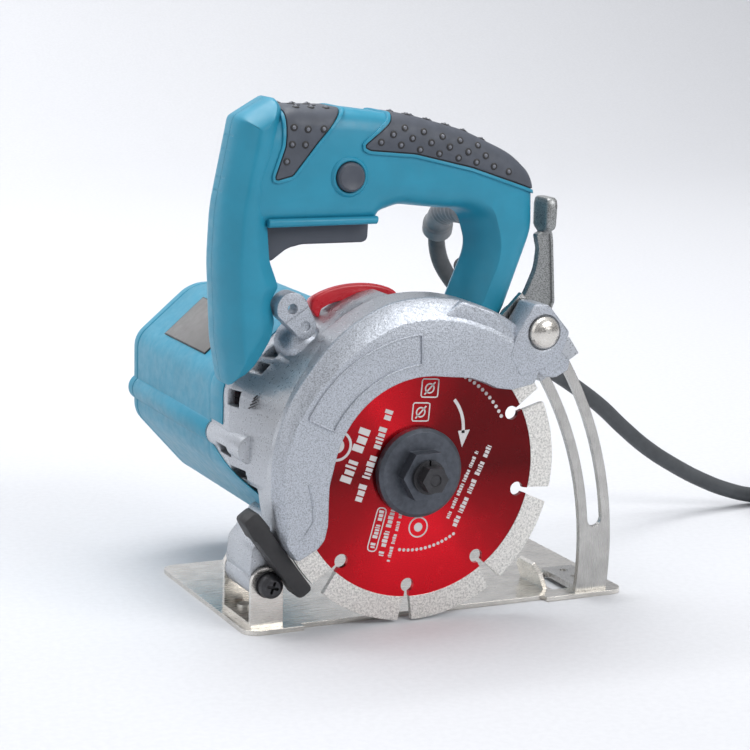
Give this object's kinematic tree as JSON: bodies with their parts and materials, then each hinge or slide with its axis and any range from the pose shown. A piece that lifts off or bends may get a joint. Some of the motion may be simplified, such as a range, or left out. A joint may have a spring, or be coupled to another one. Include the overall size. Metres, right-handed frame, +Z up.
{
  "type": "marble cutter",
  "caption": "Hand-held circular stone cutter with a half-open blade guard, tilting base plate, closed D handle with trigger, cross motor and a stored mains cord.",
  "frame": {"origin": "underside of the base plate, below the spindle, in the parting plane of the handle", "axes": "+X along the cut towards the rear, +Y from the blade towards the motor, +Z up"},
  "size_m": [0.439, 0.202, 0.2125],
  "materials": {
    "zinc_plate": "satin nickel plating",
    "bright_screws": "zinc plated",
    "black_screws": "black oxide",
    "cast_alloy": "coarse cast, silver lacquer",
    "lever_alloy": "coarse die cast",
    "housing_plastic": "fine grained moulding, teal",
    "plate_film": "satin film",
    "visor_plastic": "semi-gloss moulding",
    "flap_rubber": "matt",
    "grip_rubber": "soft grip moulding",
    "trigger_plastic": "satin moulding",
    "black_plastic": "moulded",
    "turned_steel": "ground",
    "bearing_steel": "polished",
    "lamination_steel": "stacked laminations",
    "copper_wire": "enamelled copper wire",
    "brass_sheet": "pressed",
    "carbon": "pressed carbon",
    "dark_flange": "dark phosphate",
    "blade_paint": "gloss metallic red",
    "diamond_segment": "sintered, bright",
    "cord_rubber": "matt sheath",
    "relief_rubber": "matt moulding"
  },
  "bodies": {
    "saw_head": {"blade_guard": "cast_alloy", "guard_screws": "bright_screws", "gear_housing": "cast_alloy", "motor_housing": "housing_plastic", "housing_screws": "bright_screws", "rear_cover": "housing_plastic", "rear_cover_screws": "black_screws", "nameplate": "plate_film", "exhaust_deflector": "visor_plastic", "splash_flap": "flap_rubber", "carriage_bolt": "zinc_plate", "handle_shell_blade_side": "housing_plastic", "handle_shell_motor_side": "housing_plastic", "handle_screws": "black_screws", "front_grip_inserts": "grip_rubber", "rear_grip_inserts": "grip_rubber", "trigger_pin": "bright_screws", "switch_body": "black_plastic", "motor_front_bearing": "bearing_steel", "motor_rear_bearing": "bearing_steel", "stator_core": "lamination_steel", "field_coils": "copper_wire", "brush_holders": "brass_sheet", "carbon_brushes": "carbon", "brush_springs": "bright_screws", "spindle_front_bearing": "bearing_steel", "spindle_rear_bearing": "bearing_steel", "strain_relief": "relief_rubber", "cord_lead": "cord_rubber", "cord_coil": "cord_rubber", "cord_tail": "cord_rubber", "plug": "black_plastic"},
    "base": {"base_plate": "zinc_plate", "pivot_bracket": "zinc_plate", "bracket_rivets": "bright_screws", "arc_guide": "zinc_plate", "pivot_screw": "black_screws", "pivot_washers": "black_screws", "pivot_nut": "bright_screws"},
    "blade_spindle": {"spindle": "turned_steel", "spindle_gear": "turned_steel", "inner_flange": "dark_flange", "blade_core": "blade_paint", "blade_segments": "diamond_segment", "outer_flange": "dark_flange", "spring_washer": "black_screws", "blade_bolt": "black_screws"},
    "armature": {"armature_shaft": "turned_steel", "rotor_core": "lamination_steel", "rotor_windings": "copper_wire", "commutator": "copper_wire", "cooling_fan": "black_plastic"},
    "trigger_lever": {"trigger": "trigger_plastic"},
    "lock_on_button": {"lock_button": "trigger_plastic"},
    "depth_clamp": {"clamp_lever": "lever_alloy"}
  },
  "joints": [
    {"name": "depth_pivot", "type": "hinge", "parent": "saw_head", "child": "base", "pos_m": [-0.062, 0, 0.02], "axis": [0, -1, 0], "range_deg": [0, 30]},
    {"name": "depth_clamp_turn", "type": "hinge", "parent": "saw_head", "child": "depth_clamp", "pos_m": [0.0522, 0, 0.1189], "axis": [0, 1, 0], "range_deg": [0, 80]},
    {"name": "trigger_press", "type": "hinge", "parent": "saw_head", "child": "trigger_lever", "pos_m": [-0.0175, 0, 0.1665], "axis": [0, 1, 0], "range_deg": [0, 5.5], "stiffness_Nm_per_rad": 1.5, "springref_deg": -5.73},
    {"name": "lock_button_press", "type": "slide", "parent": "saw_head", "child": "lock_on_button", "axis": [0, 1, 0], "range_m": [0, 0.003], "stiffness_N_per_m": 700, "springref_m": -0.003},
    {"name": "spindle_spin", "type": "hinge", "parent": "saw_head", "child": "blade_spindle", "pos_m": [0, 0, 0.0632], "axis": [0, 1, 0], "continuous": true},
    {"name": "armature_spin", "type": "hinge", "parent": "saw_head", "child": "armature", "pos_m": [-0.02273, 0, 0.07633], "axis": [0, 1, 0], "continuous": true}
  ],
  "couplings": [
    {"joint": "armature_spin", "follows": "spindle_spin", "ratio": -2.5}
  ]
}
